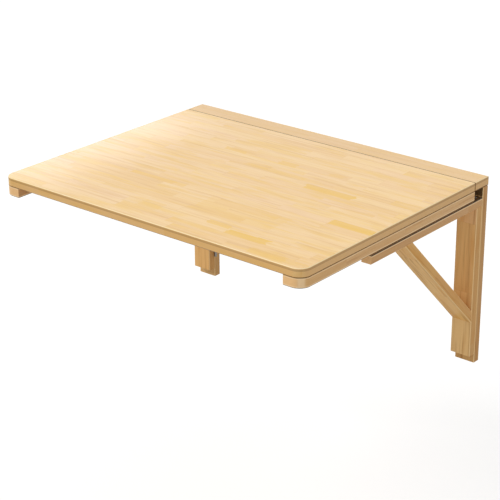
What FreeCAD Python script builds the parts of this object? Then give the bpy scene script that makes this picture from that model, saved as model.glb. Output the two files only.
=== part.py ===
import FreeCAD, Part
import math
import os

from FreeCAD import Vector

# Wall mounted drop leaf table, in millimetres.
# X runs along the wall, the wall face is Y = 0 and the room lies on the -Y side, and +Z is up.
# The origin is the centre of the four wall screws of the posts, on the wall.

# Top: a fixed ledge on the wall and the leaf hinged to it
table_width = 750.0
table_depth = 600.0
board_thickness = 18.0
ledge_depth = 48.0
seam_gap = 1.5
corner_radius = 24.0
top_edge_round = 2.0
lower_edge_bevel = 1.2
seam_edge_bevel = 0.6

# Battens under the ends of the leaf
batten_width = 42.0
batten_thickness = 20.0

# Frame members: posts on the wall, and the stile, arm and brace of each swinging bracket
member_width = 46.0
member_thickness = 18.0
member_edge_bevel = 1.2
bracket_gap = 1.0
post_drop = 405.0
post_top_gap = 2.0
stile_drop = 384.0
rest_gap = 2.0
arm_reach = 395.0
brace_foot_drop = 307.0
brace_angle = 45.0
arm_lap_play = 1.0

# Wall rail between the posts
rail_height = 60.0

# Wall screw holes through the posts and the rail
wall_hole_radius = 2.75
wall_head_radius = 5.5
wall_head_depth = 3.0
upper_wall_screw_drop = 48.0
wall_screw_rise = 320.0
rail_screw_spacing = 400.0

# Rest pads on the arms
pad_side = 12.0
pad_air = 0.3
pad_tip_inset = 13.0
pad_heel_reach = 120.0

# Hinge parts that all hinges share
knuckle_radius = 3.0
knuckle_gap = 0.3
pin_radius = 1.6
pin_air = 0.05

# Leaf hinges: cranked plates hold the pin well below the boards, so that the leaf can hang clear
# of the folded brackets. One plate lies under the ledge and the other is let into the leaf.
leaf_hinge_width = 50.0
leaf_hinge_plate = 2.0
leaf_hinge_end_inset = 125.0
leaf_hinge_offset = 10.5
leaf_hinge_fixed_length = 26.0
leaf_hinge_ledge_inset = 1.0
leaf_hinge_moving_length = 38.0
leaf_hinge_moving_start = 4.5
leaf_hinge_seat_air = 0.2
leaf_hang_air = 0.5

# Bracket hinges: butt hinges let into the facing sides of the post and the stile
bracket_hinge_height = 44.0
bracket_hinge_plate = 1.4
bracket_hinge_plate_length = 30.0
bracket_hinge_plate_gap = 0.2
bracket_hinge_drops = (110.0, 332.0)
bracket_hinge_seat_air = 0.2

# How far a cutting tool runs past a face, and how closely an edge must match what it is picked by
cut_margin = 1.0
match_tolerance = 0.01

# Values that follow from the driving dimensions
half_width = table_width / 2
top_height = upper_wall_screw_drop + wall_screw_rise / 2
arm_top_drop = board_thickness + batten_thickness + rest_gap
arm_bottom_drop = arm_top_drop + member_thickness
post_front = -member_thickness
stile_back = post_front - bracket_gap
stile_front = stile_back - member_thickness
member_inner = half_width - member_width
member_middle = half_width - member_width / 2
leaf_back = -(ledge_depth + seam_gap)
bracket_pin_x = member_inner - knuckle_radius
bracket_pin_y = (post_front + stile_back) / 2
folded_front = bracket_pin_y + bracket_pin_x - half_width
leaf_pin_y = folded_front - leaf_hang_air + leaf_hinge_offset
leaf_pin_drop = board_thickness + leaf_hinge_offset
leaf_hinge_places = (leaf_hinge_end_inset - half_width, 0.0, half_width - leaf_hinge_end_inset)
folded_tip = arm_reach + bracket_pin_y - bracket_pin_x
lap_start = arm_reach - 2 * folded_tip - arm_lap_play
notch_reach = knuckle_radius + knuckle_gap

SIDES = (("left", -1), ("right", 1))


def height(drop):
    """Z of a level that lies the given distance below the top's upper face."""
    return top_height - drop


def box(x_range, y_range, drop_range):
    """Block between two X values, two Y values and two distances below the top."""
    x_low, x_high = sorted(x_range)
    y_low, y_high = sorted(y_range)
    drop_low, drop_high = sorted(drop_range)
    corner = Vector(x_low, y_low, height(drop_high))
    return Part.makeBox(x_high - x_low, y_high - y_low, drop_high - drop_low, corner)


def edges_along(shape, direction):
    """Straight edges of the shape that run along one unit direction."""
    return [edge for edge in shape.Edges
            if isinstance(edge.Curve, Part.Line)
            and edge.Curve.Direction.cross(direction).Length < match_tolerance]


def eased_member(shape, direction):
    """Member with its long edges bevelled."""
    return shape.makeChamfer(member_edge_bevel, edges_along(shape, direction))


def top_outline(y_back):
    """Plan of the top from a back line to the front edge, with the two front corners rounded."""
    front = -table_depth
    arc_y = front + corner_radius
    arc_x = half_width - corner_radius
    bevel = corner_radius * (1 - math.sqrt(0.5))
    level = height(board_thickness)

    def point(x, y):
        return Vector(x, y, level)

    edges = [
        Part.LineSegment(point(-half_width, y_back), point(half_width, y_back)).toShape(),
        Part.LineSegment(point(half_width, y_back), point(half_width, arc_y)).toShape(),
        Part.Arc(point(half_width, arc_y), point(half_width - bevel, front + bevel),
                 point(arc_x, front)).toShape(),
        Part.LineSegment(point(arc_x, front), point(-arc_x, front)).toShape(),
        Part.Arc(point(-arc_x, front), point(-half_width + bevel, front + bevel),
                 point(-half_width, arc_y)).toShape(),
        Part.LineSegment(point(-half_width, arc_y), point(-half_width, y_back)).toShape(),
    ]
    return Part.Face(Part.Wire(edges))


def rim_edges(shape, drop, keep_y=None):
    """Edges of the shape at one level, apart from those that lie on the plane Y = keep_y."""
    chosen = []
    for edge in shape.Edges:
        limits = edge.BoundBox
        level = max(abs(limits.ZMin - height(drop)), abs(limits.ZMax - height(drop)))
        if level > match_tolerance:
            continue
        if keep_y is not None:
            if max(abs(limits.YMin - keep_y), abs(limits.YMax - keep_y)) < match_tolerance:
                continue
        chosen.append(edge)
    return chosen


def seam_edges(shape, y):
    """Long upper edge of the shape at the seam."""
    return [edge for edge in edges_along(shape, Vector(1, 0, 0))
            if edge.BoundBox.ZMin > top_height - match_tolerance
            and abs(edge.BoundBox.YMin - y) < match_tolerance]


# ---------------------------------------------------------------- leaf hinges

def leaf_hinge_barrel(x_centre, length, radius):
    """Round bar along X on the leaf's pin line."""
    start = Vector(x_centre - length / 2, leaf_pin_y, height(leaf_pin_drop))
    return Part.makeCylinder(radius, length, start, Vector(1, 0, 0))


def leaf_hinge_knuckles(x_centre):
    """Centre places and lengths of the outer pair and of the middle knuckle."""
    third = leaf_hinge_width / 3
    outer = [(x_centre - third, third - knuckle_gap), (x_centre + third, third - knuckle_gap)]
    return outer, [(x_centre, third - knuckle_gap)]


def leaf_hinge_web(x_centre, length, y_end, drop_end):
    """Slanted web as wide as one knuckle, from the pin line to the middle of the plate's near end."""
    run = y_end - leaf_pin_y
    rise = leaf_pin_drop - drop_end
    reach = math.hypot(run, rise)
    across_y = -rise / reach * leaf_hinge_plate / 2
    across_z = run / reach * leaf_hinge_plate / 2
    x = x_centre - length / 2
    points = [
        Vector(x, leaf_pin_y + across_y, height(leaf_pin_drop) + across_z),
        Vector(x, leaf_pin_y - across_y, height(leaf_pin_drop) - across_z),
        Vector(x, y_end - across_y, height(drop_end) - across_z),
        Vector(x, y_end + across_y, height(drop_end) + across_z),
    ]
    return Part.Face(Part.makePolygon(points + points[:1])).extrude(Vector(length, 0, 0))


def leaf_hinge_plate_solid(x_centre, y_near, y_far, top_drop, knuckles):
    """Cranked plate: a flat strip from y_near to y_far, with webs down to its knuckles."""
    half = leaf_hinge_width / 2
    plate = box((x_centre - half, x_centre + half), (y_near, y_far),
                (top_drop, top_drop + leaf_hinge_plate))
    y_end = y_near + math.copysign(leaf_hinge_plate, y_far - y_near)
    webs = [leaf_hinge_web(x, length, y_end, top_drop + leaf_hinge_plate / 2)
            for x, length in knuckles]
    barrels = [leaf_hinge_barrel(x, length, knuckle_radius) for x, length in knuckles]
    bore = leaf_hinge_barrel(x_centre, leaf_hinge_width + 2 * cut_margin, pin_radius + pin_air)
    return plate.fuse(webs + barrels).cut(bore).removeSplitter()


def leaf_hinge_fixed_plate(x_centre, knuckles):
    """Plate on the underside of the ledge."""
    y_near = -ledge_depth + leaf_hinge_ledge_inset
    return leaf_hinge_plate_solid(x_centre, y_near, y_near + leaf_hinge_fixed_length,
                                  board_thickness, knuckles)


def leaf_hinge_moving_plate(x_centre, knuckles):
    """Plate let flush into the underside of the leaf."""
    y_near = leaf_pin_y - leaf_hinge_moving_start
    return leaf_hinge_plate_solid(x_centre, y_near, y_near - leaf_hinge_moving_length,
                                  board_thickness - leaf_hinge_plate, knuckles)


def leaf_hinge_seat(x_centre):
    """Recess in the leaf's underside for the moving plate."""
    half = leaf_hinge_width / 2 + leaf_hinge_seat_air
    y_near = leaf_pin_y - leaf_hinge_moving_start
    return box((x_centre - half, x_centre + half),
               (y_near + leaf_hinge_seat_air,
                y_near - leaf_hinge_moving_length - leaf_hinge_seat_air),
               (board_thickness - leaf_hinge_plate, board_thickness + cut_margin))


# ---------------------------------------------------------------- bracket hinges

def bracket_barrel(side, drop_centre, length, radius):
    """Upright round bar on the pin line of one bracket."""
    start = Vector(side * bracket_pin_x, bracket_pin_y, height(drop_centre + length / 2))
    return Part.makeCylinder(radius, length, start, Vector(0, 0, 1))


def bracket_knuckles(drop):
    """Centre levels and lengths of the outer pair and of the middle knuckle."""
    third = bracket_hinge_height / 3
    outer = [(drop - third, third - knuckle_gap), (drop + third, third - knuckle_gap)]
    return outer, [(drop, third - knuckle_gap)]


def bracket_notch(side, drop_centre, length):
    """Block that clears one plate of a knuckle of the other plate."""
    half = length / 2 + knuckle_gap
    return box((side * (bracket_pin_x - notch_reach), side * (bracket_pin_x + notch_reach)),
               (bracket_pin_y - notch_reach, bracket_pin_y + notch_reach),
               (drop_centre - half, drop_centre + half))


def bracket_plate_y(facing):
    """Y of the inner and outer face of a plate: facing is 1 for the post and -1 for the stile."""
    inner = bracket_pin_y + facing * bracket_hinge_plate_gap / 2
    return inner, inner + facing * bracket_hinge_plate


def bracket_plate_x_end(side):
    """X where the plates end, inside the width of the post."""
    return side * (bracket_pin_x + bracket_hinge_plate_length)


def bracket_hinge_plate_solid(side, drop, facing, own, other):
    """Plate let into the post or the stile, with its own knuckles and notches for the others."""
    half = bracket_hinge_height / 2
    plate = box((side * bracket_pin_x, bracket_plate_x_end(side)), bracket_plate_y(facing),
                (drop - half, drop + half))
    notches = [bracket_notch(side, level, length) for level, length in other]
    barrels = [bracket_barrel(side, level, length, knuckle_radius) for level, length in own]
    bore = bracket_barrel(side, drop, bracket_hinge_height + 2 * cut_margin, pin_radius + pin_air)
    return plate.cut(Part.makeCompound(notches)).fuse(barrels).cut(bore).removeSplitter()


def bracket_hinge_seats(side, facing):
    """Recesses for the plates in the post or in the stile."""
    half = bracket_hinge_height / 2 + bracket_hinge_seat_air
    x_range = (side * (member_inner - cut_margin),
               bracket_plate_x_end(side) + side * bracket_hinge_seat_air)
    y_range = (bracket_pin_y, bracket_plate_y(facing)[1])
    return [box(x_range, y_range, (drop - half, drop + half)) for drop in bracket_hinge_drops]


# ---------------------------------------------------------------- fixed frame

def wall_screw_hole(x, drop):
    """Through hole with a countersink on the room side."""
    hole = Part.makeCylinder(wall_hole_radius, member_thickness + 2 * cut_margin,
                             Vector(x, cut_margin, height(drop)), Vector(0, -1, 0))
    sink = Part.makeCone(wall_hole_radius, wall_head_radius, wall_head_depth,
                         Vector(x, post_front + wall_head_depth, height(drop)), Vector(0, -1, 0))
    return hole.fuse(sink)


def wall_ledge():
    """Fixed board of the top, which the leaf is hinged to."""
    ledge = box((-half_width, half_width), (-ledge_depth, 0), (0, board_thickness))
    ledge = ledge.makeFillet(top_edge_round, rim_edges(ledge, 0, -ledge_depth))
    return ledge.makeChamfer(seam_edge_bevel, seam_edges(ledge, -ledge_depth))


def wall_rail():
    """Rail on the wall between the posts, under the ledge."""
    rail = box((-member_inner, member_inner), (post_front, 0),
               (board_thickness, board_thickness + rail_height))
    lower_front = [edge for edge in edges_along(rail, Vector(1, 0, 0))
                   if edge.BoundBox.ZMax < height(board_thickness + rail_height / 2)
                   and edge.BoundBox.YMax < post_front / 2]
    rail = rail.makeChamfer(member_edge_bevel, lower_front)
    holes = [wall_screw_hole(x, upper_wall_screw_drop)
             for x in (-rail_screw_spacing / 2, rail_screw_spacing / 2)]
    return rail.cut(Part.makeCompound(holes))


def wall_post(side):
    """Upright post on the wall, which carries one bracket."""
    post = box((side * member_inner, side * half_width), (post_front, 0),
               (board_thickness + post_top_gap, post_drop))
    post = eased_member(post, Vector(0, 0, 1))
    holes = [wall_screw_hole(side * member_middle, drop)
             for drop in (upper_wall_screw_drop, upper_wall_screw_drop + wall_screw_rise)]
    return post.cut(Part.makeCompound(bracket_hinge_seats(side, 1) + holes))


# ---------------------------------------------------------------- leaf

def leaf_panel():
    """Drop leaf with rounded front corners and seats for its hinge plates in the underside."""
    panel = top_outline(leaf_back).extrude(Vector(0, 0, board_thickness))
    panel = panel.makeFillet(top_edge_round, rim_edges(panel, 0, leaf_back))
    panel = panel.makeChamfer(lower_edge_bevel, rim_edges(panel, board_thickness, leaf_back))
    panel = panel.makeChamfer(seam_edge_bevel, seam_edges(panel, leaf_back))
    return panel.cut(Part.makeCompound([leaf_hinge_seat(x) for x in leaf_hinge_places]))


def batten(side):
    """Strip under one end of the leaf, cut to the leaf's outline."""
    plan = top_outline(leaf_back).extrude(Vector(0, 0, -batten_thickness))
    bottom_drop = board_thickness + batten_thickness
    strip = box((side * (half_width - batten_width), side * (half_width + cut_margin)),
                (-table_depth - cut_margin, leaf_back + cut_margin),
                (board_thickness, bottom_drop))
    strip = plan.common(strip)
    return strip.makeChamfer(lower_edge_bevel, rim_edges(strip, bottom_drop))


# ---------------------------------------------------------------- swinging brackets

def brace_line_y(drop, across=0.0):
    """Y of the brace's lower face at a level, or of a line that lies across it by some distance."""
    angle = math.radians(brace_angle)
    run = (brace_foot_drop - drop) / math.tan(angle)
    return stile_front - run + across / math.sin(angle)


def bracket_stile(side):
    """Upright of one bracket, hinged to the post."""
    stile = box((side * member_inner, side * half_width), (stile_front, stile_back),
                (arm_bottom_drop, stile_drop))
    stile = eased_member(stile, Vector(0, 0, 1))
    return stile.cut(Part.makeCompound(bracket_hinge_seats(side, -1)))


def bracket_arm(side):
    """Arm under the leaf. Its tip is half lapped, so that the folded arms pass each other."""
    arm = box((side * member_inner, side * half_width), (-arm_reach, stile_back),
              (arm_top_drop, arm_bottom_drop))
    arm = eased_member(arm, Vector(0, 1, 0))
    half_play = arm_lap_play / 2
    if side > 0:
        lost = (member_inner - cut_margin, member_middle + half_play)
    else:
        lost = (-half_width - cut_margin, -member_middle + half_play)
    return arm.cut(box(lost, (-arm_reach - cut_margin, -lap_start),
                       (arm_top_drop - cut_margin, arm_bottom_drop + cut_margin)))


def bracket_brace(side):
    """Slanted brace between the arm's lower face and the stile's front."""
    angle = math.radians(brace_angle)
    foot_height = member_thickness / math.cos(angle)
    corners = [
        (brace_line_y(arm_bottom_drop), arm_bottom_drop),
        (brace_line_y(arm_bottom_drop, member_thickness), arm_bottom_drop),
        (stile_front, brace_foot_drop - foot_height),
        (stile_front, brace_foot_drop),
    ]
    start_x = min(side * member_inner, side * half_width)
    points = [Vector(start_x, y, height(drop)) for y, drop in corners]
    brace = Part.Face(Part.makePolygon(points + points[:1])).extrude(Vector(member_width, 0, 0))
    return eased_member(brace, Vector(0, math.cos(angle), -math.sin(angle)))


def rest_pads(side):
    """Felt pads on the arm that the batten rests on."""
    batten_inner = half_width - batten_width
    batten_middle = half_width - batten_width / 2
    tip_x = (member_middle + (half_width if side > 0 else batten_inner)) / 2
    places = [(tip_x, arm_reach - pad_tip_inset), (batten_middle, pad_heel_reach)]
    half = pad_side / 2
    return Part.makeCompound([
        box((side * x - half, side * x + half), (-reach - half, -reach + half),
            (arm_top_drop - rest_gap + pad_air, arm_top_drop))
        for x, reach in places])


# ---------------------------------------------------------------- whole table

def leaf_hinge_nodes():
    """Fixed plates, moving plates and pins of the leaf hinges."""
    nodes = {}
    for name, x in zip(("left", "middle", "right"), leaf_hinge_places):
        outer, middle = leaf_hinge_knuckles(x)
        nodes["leaf_hinge_fixed_plate_" + name] = leaf_hinge_fixed_plate(x, outer)
        nodes["leaf_hinge_moving_plate_" + name] = leaf_hinge_moving_plate(x, middle)
        nodes["leaf_hinge_pin_" + name] = leaf_hinge_barrel(x, leaf_hinge_width, pin_radius)
    return nodes


def bracket_hinge_nodes(name, side):
    """Plates and pins of the two hinges of one bracket."""
    nodes = {}
    for level, drop in zip(("upper", "lower"), bracket_hinge_drops):
        outer, middle = bracket_knuckles(drop)
        ending = level + "_" + name
        nodes["bracket_hinge_post_plate_" + ending] = bracket_hinge_plate_solid(
            side, drop, 1, outer, middle)
        nodes["bracket_hinge_stile_plate_" + ending] = bracket_hinge_plate_solid(
            side, drop, -1, middle, outer)
        nodes["bracket_hinge_pin_" + ending] = bracket_barrel(
            side, drop, bracket_hinge_height, pin_radius)
    return nodes


def table_nodes():
    """Every node of the table by name."""
    nodes = {
        "wall_ledge": wall_ledge(),
        "wall_rail": wall_rail(),
        "leaf_panel": leaf_panel(),
    }
    nodes.update(leaf_hinge_nodes())
    for name, side in SIDES:
        nodes["wall_post_" + name] = wall_post(side)
        nodes["batten_" + name] = batten(side)
        nodes["bracket_stile_" + name] = bracket_stile(side)
        nodes["bracket_arm_" + name] = bracket_arm(side)
        nodes["bracket_brace_" + name] = bracket_brace(side)
        nodes["rest_pads_" + name] = rest_pads(side)
        nodes.update(bracket_hinge_nodes(name, side))
    return nodes


os.makedirs("parts", exist_ok=True)
for node_name, node_shape in table_nodes().items():
    node_shape.exportStep(os.path.join("parts", node_name + ".step"))
    print(node_name, "solids", len(node_shape.Solids), "volume", round(node_shape.Volume))
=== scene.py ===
"""Finishes, screws and studio of a wall mounted drop leaf table.

The wood and hinge pieces keep the shapes of the fixed frame and get their finishes here. The screws and
the felt pads are new surfaces, each worked out from two parameters on a grid. Sizes are in metres: X runs
along the wall, the wall face is y = 0, the room lies on the -y side and z points up.
"""

import math

import bmesh
import bpy
import numpy as np
from mathutils import Color, Matrix, Vector


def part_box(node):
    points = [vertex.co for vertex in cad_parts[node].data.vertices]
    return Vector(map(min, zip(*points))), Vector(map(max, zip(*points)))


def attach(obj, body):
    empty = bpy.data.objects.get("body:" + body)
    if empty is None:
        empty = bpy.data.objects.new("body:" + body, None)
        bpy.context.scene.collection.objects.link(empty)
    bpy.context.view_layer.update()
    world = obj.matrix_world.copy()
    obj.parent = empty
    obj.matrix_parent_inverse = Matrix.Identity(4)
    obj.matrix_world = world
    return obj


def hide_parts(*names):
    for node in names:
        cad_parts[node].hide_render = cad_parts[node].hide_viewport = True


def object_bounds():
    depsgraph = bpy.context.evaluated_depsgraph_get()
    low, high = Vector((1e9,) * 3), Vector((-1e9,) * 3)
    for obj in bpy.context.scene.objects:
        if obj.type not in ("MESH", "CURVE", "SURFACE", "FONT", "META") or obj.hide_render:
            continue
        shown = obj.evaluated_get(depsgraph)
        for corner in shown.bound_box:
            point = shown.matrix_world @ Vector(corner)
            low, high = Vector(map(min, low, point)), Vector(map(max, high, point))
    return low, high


bl_info = {
    "name": "Wall Mounted Drop Leaf Table",
    "version": (1, 0, 0),
    "blender": (4, 5, 0),
    "location": "View3D > Sidebar > Table",
    "description": "Wood, hinge, felt and screw finishes for a wall mounted drop leaf table",
    "category": "Object",
}

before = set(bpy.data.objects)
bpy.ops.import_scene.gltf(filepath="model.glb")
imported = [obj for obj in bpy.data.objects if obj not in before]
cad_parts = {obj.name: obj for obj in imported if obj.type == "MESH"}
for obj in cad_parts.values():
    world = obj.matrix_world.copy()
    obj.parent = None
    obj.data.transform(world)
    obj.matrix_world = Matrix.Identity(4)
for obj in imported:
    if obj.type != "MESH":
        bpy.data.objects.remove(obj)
CAD_LOW, CAD_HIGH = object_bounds()
SIDES = (("left", -1), ("right", 1))


# ---- settings

def size_setting(name, description, default):
    """A length that a user may change."""
    return bpy.props.FloatProperty(name=name, description=description, default=default,
                                   min=0.0, precision=5, unit="LENGTH")


def colour_setting(name, description, default):
    """A colour that a user may change, given as it is seen."""
    return bpy.props.FloatVectorProperty(name=name, description=description, default=default,
                                         size=3, min=0.0, max=1.0, subtype="COLOR_GAMMA")


def share_setting(name, description, default):
    """A share from 0 to 1 that a user may change."""
    return bpy.props.FloatProperty(name=name, description=description, default=default,
                                   min=0.0, max=1.0, subtype="FACTOR")


def angle_setting(name, description, degrees):
    """An angle that a user may change."""
    return bpy.props.FloatProperty(name=name, description=description,
                                   default=math.radians(degrees), subtype="ANGLE")


def number_setting(name, description, default):
    """A plain number that a user may change."""
    return bpy.props.FloatProperty(name=name, description=description, default=default)


class TableBoardWood(bpy.types.PropertyGroup):
    """Wood of the top's two boards, glued up from narrow staves."""
    pale: colour_setting("Pale", "Most staves", (0.957, 0.806, 0.558))
    peach: colour_setting("Peach", "Pinker staves", (0.948, 0.790, 0.585))
    warm: colour_setting("Warm", "Deeper staves", (0.937, 0.767, 0.495))
    yellow: colour_setting("Yellow", "The few yellow staves", (0.930, 0.745, 0.290))
    streak: colour_setting("Streak", "Dark grain streaks", (0.850, 0.655, 0.400))
    # Ledge: colour the ledge leans to; partly its own deeper wood, partly painted reflection, the darker
    # mirror image along the wall.
    ledge: colour_setting("Ledge", "Deeper wood of the ledge", (0.875, 0.715, 0.490))
    side: colour_setting("Side", "Sides along the grain", (0.810, 0.645, 0.415))
    # Colour of the seam and of the line where the boards sit on the battens, and of the painted shade under
    # the top's rounded edge and along the rest of its lower edge.
    joint: colour_setting("Joint", "Seam, joints and bands", (0.330, 0.180, 0.060))
    seam_width: size_setting("Seam width", "Width of the line between ledge and leaf", 0.0020)
    # Edge: colour of the painted highlight on the top's upper edges, and of the pale fibres.
    edge: colour_setting("Edge", "Eased edges, which wear paler", (0.995, 0.940, 0.780))
    end: colour_setting("End", "End grain", (0.850, 0.685, 0.475))
    patches: share_setting("Patches", "Strength of the broad tone changes", 0.55)
    streaking: share_setting("Streaking", "Strength of the grain streaks", 0.55)
    stave_width: size_setting("Stave width", "Width of one stave", 0.025)
    stave_length: size_setting("Stave length", "Mean length of one stave", 0.210)
    lacquer: share_setting("Lacquer", "Weight of the clear coat", 0.60)
    lacquer_roughness: share_setting("Lacquer roughness", "Blur of the clear coat", 0.05)
    gloss: share_setting("Gloss", "Shine of the wood under the coat", 0.10)


class TableBattenWood(bpy.types.PropertyGroup):
    """Pinker wood of the battens and the bracket arms."""
    pale: colour_setting("Pale", "Pale lengths", (0.852, 0.683, 0.475))
    peach: colour_setting("Peach", "Pinker lengths", (0.842, 0.665, 0.483))
    warm: colour_setting("Warm", "Deeper lengths", (0.823, 0.645, 0.410))
    yellow: colour_setting("Yellow", "Orange brown lengths", (0.830, 0.630, 0.370))
    streak: colour_setting("Streak", "Dark grain streaks", (0.700, 0.490, 0.300))
    # Colour of the line where the battens meet the board, and of the painted shade in the gap between batten
    # and arm and on the arms' tops behind the battens.
    joint: colour_setting("Joint", "Joints and gaps", (0.120, 0.060, 0.015))
    # Edge: colour of the painted highlights on the bevelled edges and in the pale lines along the battens'
    # and arms' sides, and of the pale fibres.
    edge: colour_setting("Edge", "Eased edges, which wear paler", (0.965, 0.840, 0.660))
    end: colour_setting("End", "End grain", (0.936, 0.760, 0.537))
    patches: share_setting("Patches", "Strength of the broad tone changes", 0.50)
    streaking: share_setting("Streaking", "Strength of the grain streaks", 0.55)
    stave_width: size_setting("Stave width", "Width of one stave", 0.046)
    stave_length: size_setting("Stave length", "Mean length of one stave", 0.300)
    lacquer: share_setting("Lacquer", "Weight of the clear coat", 0.10)
    lacquer_roughness: share_setting("Lacquer roughness", "Blur of the clear coat", 0.25)
    gloss: share_setting("Gloss", "Shine of the wood under the coat", 0.10)


class TableFrameWood(bpy.types.PropertyGroup):
    """Wood of the posts, stiles, braces and rail."""
    pale: colour_setting("Pale", "Pale lengths", (0.940, 0.784, 0.548))
    peach: colour_setting("Peach", "Pinker lengths", (0.915, 0.740, 0.535))
    warm: colour_setting("Warm", "Deeper lengths", (0.888, 0.697, 0.445))
    yellow: colour_setting("Yellow", "Orange brown lengths", (0.850, 0.600, 0.290))
    streak: colour_setting("Streak", "Dark grain streaks", (0.640, 0.405, 0.190))
    brace: colour_setting("Brace", "Orange tint of the braces", (0.995, 0.770, 0.400))
    post: colour_setting("Post", "Brown tint of the posts", (0.640, 0.500, 0.330))
    tinting: share_setting("Tinting", "Strength of both tints", 0.35)
    # Colour of the painted shade on the posts' fronts above the arms.
    joint: colour_setting("Joint", "Joints and gaps", (0.120, 0.060, 0.015))
    # Edge: colour of the painted highlights on the bevelled edges, and of the pale fibres.
    edge: colour_setting("Edge", "Eased edges, which wear paler", (0.970, 0.850, 0.640))
    end: colour_setting("End", "End grain", (0.930, 0.780, 0.580))
    patches: share_setting("Patches", "Strength of the broad tone changes", 0.70)
    streaking: share_setting("Streaking", "Strength of the grain streaks", 0.85)
    stave_width: size_setting("Stave width", "Width of one stave", 0.046)
    stave_length: size_setting("Stave length", "Mean length of one stave", 0.240)
    lacquer: share_setting("Lacquer", "Weight of the clear coat", 0.02)
    lacquer_roughness: share_setting("Lacquer roughness", "Blur of the clear coat", 0.25)
    gloss: share_setting("Gloss", "Shine of the wood under the coat", 0.02)


class TableMetal(bpy.types.PropertyGroup):
    """Zinc plated steel of the hinges and screws."""
    plate: colour_setting("Plate", "Hinge plates", (0.560, 0.545, 0.520))
    pin: colour_setting("Pin", "Hinge pins", (0.540, 0.530, 0.510))
    screw: colour_setting("Screw", "Screw heads", (0.640, 0.630, 0.610))
    roughness: share_setting("Roughness", "Mean roughness of the plating", 0.48)


class TableFelt(bpy.types.PropertyGroup):
    """Pressed felt of the pads on the arms."""
    colour: colour_setting("Colour", "Felt", (0.780, 0.720, 0.620))
    fleck: colour_setting("Fleck", "Darker fibres", (0.560, 0.500, 0.420))
    crown: size_setting("Crown", "Rise of the pad's middle over its rim", 0.00015)


class TableScrews(bpy.types.PropertyGroup):
    """Cross recessed countersunk screws."""
    plate_head: size_setting("Plate head", "Head radius in the leaf hinge plates", 0.0032)
    bracket_head: size_setting("Bracket head", "Head radius in the bracket hinge plates", 0.0034)
    wood_head: size_setting("Wood head", "Head radius in the wood", 0.0040)
    proud: size_setting("Proud", "Rise of a head over its face", 0.0005)
    moving_proud: size_setting("Moving proud", "Rise of a head on a moving leaf plate", 0.0003)
    flush_proud: size_setting("Flush proud", "Rise of a head between closed plates", 0.00006)


class TableStudio(bpy.types.PropertyGroup):
    """Floor, lamps and camera."""
    floor_drop: size_setting("Floor drop", "Height of the top's face above the floor", 0.750)
    floor: colour_setting("Floor", "Floor", (0.767, 0.767, 0.767))
    fill: number_setting("Fill", "Light from all round", 0.72)
    key: number_setting("Key", "Light from the upper left front", 1.25)
    side: number_setting("Side", "Watts of the lamp beside the right end", 0.8)
    panel: number_setting("Panel", "Glow of the soft panel over the world's", 1.85)
    azimuth: angle_setting("Azimuth", "Camera's angle round the table", 39.6836)
    elevation: angle_setting("Elevation", "Camera's angle above the floor", 22.9047)
    roll: angle_setting("Roll", "Camera's tilt", -0.3133)
    distance: size_setting("Distance", "Camera's distance from its target", 3.2001)
    lens: number_setting("Lens", "Focal length in millimetres", 114.295)


SETTINGS = {
    "table_board_wood": TableBoardWood,
    "table_batten_wood": TableBattenWood,
    "table_frame_wood": TableFrameWood,
    "table_metal": TableMetal,
    "table_felt": TableFelt,
    "table_screws": TableScrews,
    "table_studio": TableStudio,
}


# ---- finishes

def linear(colour):
    """Scene colour, with alpha, of a colour that is given as it is seen."""
    return (*Color(colour).from_srgb_to_scene_linear(), 1.0)


# Sockets of a mix node for colours: its share and two colours, and its result
MIX_INPUTS = (0, 6, 7)
MIX_OUTPUT = 2


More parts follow.
